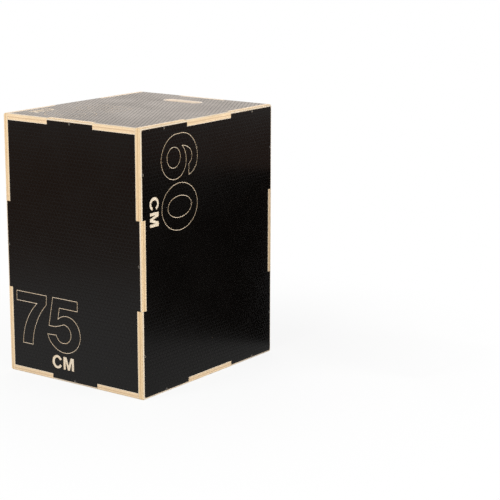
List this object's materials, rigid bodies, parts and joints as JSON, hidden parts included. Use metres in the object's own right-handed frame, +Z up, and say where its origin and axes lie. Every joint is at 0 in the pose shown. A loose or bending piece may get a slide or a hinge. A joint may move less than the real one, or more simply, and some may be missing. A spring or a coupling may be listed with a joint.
{
  "type": "plyo box",
  "caption": "Plywood jump box with finger-jointed boards, rounded edges, hand slots and routed size marks, turned onto any side for different step heights.",
  "frame": {"origin": "middle of the base, on the floor", "axes": "+Z up along the longest side, +X to the right along the shortest side, -Y to the front"},
  "size_m": [0.5, 0.6, 0.75],
  "materials": {
    "film_faced_plywood": "dark phenolic film with a fine anti-slip mesh, bare birch layers at every routed edge",
    "blackened_screw": "black phosphate, satin"
  },
  "bodies": {
    "root": {"back_board": "film_faced_plywood", "base_board": "film_faced_plywood", "front_board": "film_faced_plywood", "left_board": "film_faced_plywood", "right_board": "film_faced_plywood", "screw_back_base": "blackened_screw", "screw_back_left": "blackened_screw", "screw_back_right": "blackened_screw", "screw_back_top": "blackened_screw", "screw_base_back_left": "blackened_screw", "screw_base_back_right": "blackened_screw", "screw_base_front_left": "blackened_screw", "screw_base_front_right": "blackened_screw", "screw_base_left": "blackened_screw", "screw_base_right": "blackened_screw", "screw_front_base": "blackened_screw", "screw_front_left": "blackened_screw", "screw_front_right": "blackened_screw", "screw_front_top": "blackened_screw", "screw_left_back_lower": "blackened_screw", "screw_left_back_upper": "blackened_screw", "screw_left_base_back": "blackened_screw", "screw_left_base_front": "blackened_screw", "screw_left_front_lower": "blackened_screw", "screw_left_front_upper": "blackened_screw", "screw_left_top_back": "blackened_screw", "screw_left_top_front": "blackened_screw", "screw_right_back_lower": "blackened_screw", "screw_right_back_upper": "blackened_screw", "screw_right_base_back": "blackened_screw", "screw_right_base_front": "blackened_screw", "screw_right_front_lower": "blackened_screw", "screw_right_front_upper": "blackened_screw", "screw_right_top_back": "blackened_screw", "screw_right_top_front": "blackened_screw", "screw_top_back_left": "blackened_screw", "screw_top_back_right": "blackened_screw", "screw_top_front_left": "blackened_screw", "screw_top_front_right": "blackened_screw", "screw_top_left": "blackened_screw", "screw_top_right": "blackened_screw", "top_board": "film_faced_plywood"}
  },
  "joints": []
}
